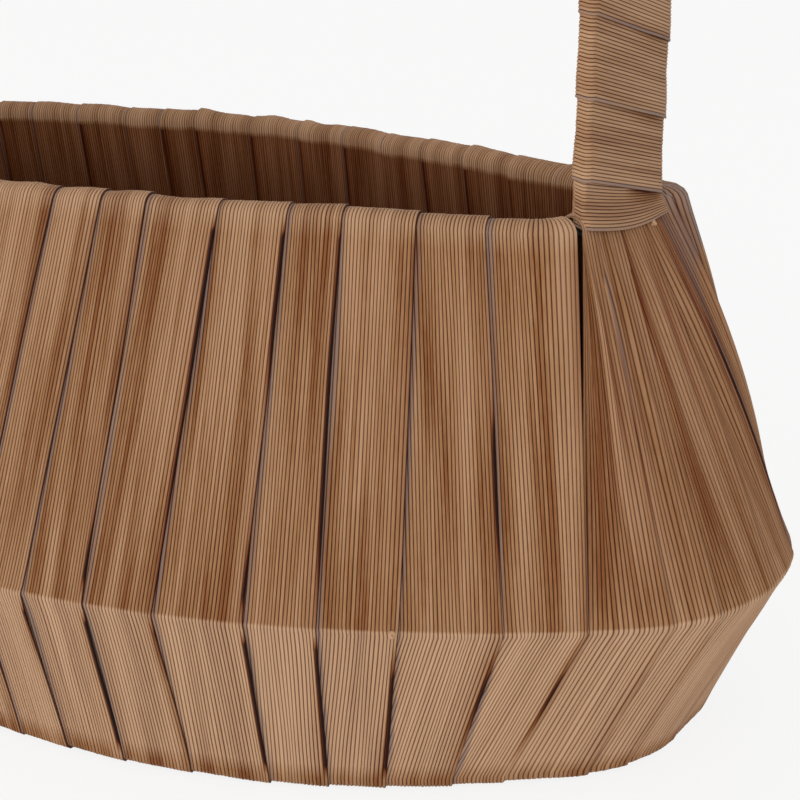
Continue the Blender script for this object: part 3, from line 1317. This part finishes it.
class BASKET_OT_side_bands(bpy.types.Operator):
    """Lay the bands of the two long sides"""

    bl_idname = "basket.side_bands"
    bl_label = "Side bands"

    def execute(self, context):
        layouts = make_layouts()[0]
        for index in range(2 * layouts[0].per_half):
            if index % layouts[0].per_half < layouts[0].side_count:
                make_band(layouts, index)
        return {"FINISHED"}


class BASKET_OT_end_bands(bpy.types.Operator):
    """Lay the bands that are gathered under the handle's feet and turn the corners"""

    bl_idname = "basket.end_bands"
    bl_label = "End bands"

    def execute(self, context):
        layouts = make_layouts()[0]
        for index in range(2 * layouts[0].per_half):
            if index % layouts[0].per_half >= layouts[0].side_count:
                make_band(layouts, index)
        return {"FINISHED"}


class BASKET_OT_handle_windings(bpy.types.Operator):
    """Wind the handle and bind its feet"""

    bl_idname = "basket.handle_windings"
    bl_label = "Handle windings"

    def execute(self, context):
        marks = section_stations()[1]
        # The right winding's end turns most of the last corner, so the strip is covered.
        last_share = marks[7] + LAST_CORNER_TURNED * (1.0 - marks[7])
        make_winding("tape_winding_right", mirrored=False, last_share=last_share, seed=101)
        make_winding("tape_winding_left", mirrored=True, last_share=marks[1], seed=102)
        make_foot("tape_foot_right", mirrored=False, seed=103)
        make_foot("tape_foot_left", mirrored=True, seed=104)
        return {"FINISHED"}


class BASKET_OT_curled_ends(bpy.types.Operator):
    """Add the loose ends of cord on the crease and under the foot bands"""

    bl_idname = "basket.curled_ends"
    bl_label = "Curled ends"

    def execute(self, context):
        belly = make_layouts()[0][1].hoop
        crease = np.array([belly.distance_at_x(BELLY_HALF_LENGTH * CREASE_CURL_SHARE)])
        point, normal = belly.at(crease)
        reach = WRAP_RADIUS + DRAWN_SLACK + DRAWN_STEP + DRAWN_THICKNESS
        place, axis = (point + normal * reach)[0], (normal + UP * CREASE_CURL_TILT)[0]
        make_curl("tape_curl_front", place, axis, seed=501)
        make_curl("tape_curl_back", turned(place), turned(axis), seed=502)
        place = np.array((end_wall_x(FOOT_CURL_HEIGHT), FOOT_CURL_ASIDE, FOOT_CURL_HEIGHT))
        axis = np.array((1.0, 0.0, FOOT_CURL_TILT))
        make_curl("tape_curl_right", place, axis, seed=503)
        make_curl("tape_curl_left", turned(place), turned(axis), seed=504)
        return {"FINISHED"}


class BASKET_OT_floor_mat(bpy.types.Operator):
    """Lay the tape on the floor of the basket"""

    bl_idname = "basket.floor_mat"
    bl_label = "Floor mat"

    def execute(self, context):
        make_mat(*make_layouts())
        return {"FINISHED"}


class BASKET_OT_hard_parts(bpy.types.Operator):
    """Give the wires, the handle's strip and the board their finishes"""

    bl_idname = "basket.hard_parts"
    bl_label = "Wires and board"

    def execute(self, context):
        steel, board = steel_wire(), plywood_board()
        finishes = {"rim_hoop": steel, "belly_hoop": steel, "base_hoop": steel,
                    "handle_core": steel, "base_board": board}
        for name, material in finishes.items():
            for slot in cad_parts[name].material_slots:
                slot.material = material
        return {"FINISHED"}


class BASKET_OT_stage(bpy.types.Operator):
    """Set the floor, the light and the camera"""

    bl_idname = "basket.stage"
    bl_label = "Stage"

    def execute(self, context):
        settings = context.scene.basket_stage
        make_floor(settings)
        make_world(settings)
        make_lights(settings)
        make_camera()
        context.scene.view_settings.view_transform = "Standard"
        return {"FINISHED"}


def make_floor(settings):
    """A wide pale floor that shows white and keeps the shadow."""
    data = bpy.data.meshes.new("floor")
    corners = [(x * FLOOR_REACH, y * FLOOR_REACH, 0.0)
               for x, y in ((-1, -1), (1, -1), (1, 1), (-1, 1))]
    data.from_pydata(corners, [], [(0, 1, 2, 3)])
    floor = add_object("floor", data)
    # Matt white paper, which also glows a little where it is seen.
    material, tree, shader = new_material("white_paper_sweep")
    shader.inputs["Base Color"].default_value = settings.floor_color
    shader.inputs["Roughness"].default_value = 0.9
    glow = add_node(tree, "ShaderNodeEmission", {"Color": (1.0, 1.0, 1.0, 1.0)})
    share = add_node(tree, "ShaderNodeMath", {0: seen_rays(tree), 1: FLOOR_GLOW},
                     operation="MULTIPLY").outputs[0]
    mixed = add_node(tree, "ShaderNodeMixShader", {
        0: share, 1: shader.outputs[0], 2: glow.outputs[0]})
    tree.links.new(mixed.outputs[0], tree.nodes["Material Output"].inputs[0])
    data.materials.append(material)


def make_world(settings):
    """Even white light from all round, and white behind."""
    world = bpy.data.worlds.new("studio")
    world.use_nodes = True
    tree = world.node_tree
    tree.nodes.clear()
    strength = add_node(tree, "ShaderNodeMapRange", {
        "Value": seen_rays(tree), "To Min": settings.fill_strength, "To Max": 1.0})
    back = add_node(tree, "ShaderNodeBackground", {
        "Color": (1.0, 1.0, 1.0, 1.0), "Strength": strength.outputs[0]})
    out = add_node(tree, "ShaderNodeOutputWorld", {0: back.outputs[0]})
    out.is_active_output = True
    bpy.context.scene.world = world


def make_lights(settings):
    """Two broad lights: one low in front, one softer at the left."""
    for name, (place, target, power_share, size) in LIGHTS.items():
        data = bpy.data.lights.new(name, "AREA")
        data.energy = settings.key_power * power_share
        data.size = size
        lamp = add_object(name, data)
        lamp.location = place
        aim = Vector(target) - Vector(place)
        lamp.rotation_mode = "QUATERNION"
        lamp.rotation_quaternion = aim.to_track_quat("-Z", "Y")


def make_camera():
    """The camera at the photograph's place."""
    data = bpy.data.cameras.new("camera")
    data.lens = CAMERA_LENS
    data.sensor_width = CAMERA_SENSOR
    camera = add_object("camera", data)
    camera.location = CAMERA_PLACE
    level = math.cos(CAMERA_ELEVATION)
    back = Vector((math.sin(CAMERA_AZIMUTH) * level, -math.cos(CAMERA_AZIMUTH) * level,
                   math.sin(CAMERA_ELEVATION)))
    camera.rotation_mode = "QUATERNION"
    camera.rotation_quaternion = (-back).to_track_quat("-Z", "Y")
    bpy.context.scene.camera = camera


class BASKET_PT_panel(bpy.types.Panel):
    """Lists the steps of the basket in the sidebar"""

    bl_idname = "BASKET_PT_panel"
    bl_label = "Foraging basket"
    bl_space_type = "VIEW_3D"
    bl_region_type = "UI"
    bl_category = "Basket"

    def draw(self, context):
        for step in STEPS:
            self.layout.operator(step.bl_idname)
        for group in (context.scene.basket_tape, context.scene.basket_finish,
                      context.scene.basket_stage):
            for name in group.__annotations__:
                self.layout.prop(group, name)


STEPS = (BASKET_OT_stage, BASKET_OT_side_bands, BASKET_OT_end_bands,
         BASKET_OT_handle_windings, BASKET_OT_curled_ends, BASKET_OT_floor_mat,
         BASKET_OT_hard_parts)
GROUPS = {"basket_tape": TapeSettings, "basket_finish": FinishSettings,
          "basket_stage": StageSettings}


def register():
    for item in (*GROUPS.values(), *STEPS, BASKET_PT_panel):
        bpy.utils.register_class(item)
    for name, group in GROUPS.items():
        setattr(bpy.types.Scene, name, bpy.props.PointerProperty(type=group))


def unregister():
    for name in GROUPS:
        delattr(bpy.types.Scene, name)
    for item in (BASKET_PT_panel, *reversed(STEPS), *GROUPS.values()):
        bpy.utils.unregister_class(item)


def main():
    register()
    bpy.ops.basket.stage()
    bpy.ops.basket.side_bands()
    bpy.ops.basket.end_bands()
    bpy.ops.basket.handle_windings()
    bpy.ops.basket.curled_ends()
    bpy.ops.basket.floor_mat()
    bpy.ops.basket.hard_parts()


if __name__ == "__main__":
    main()
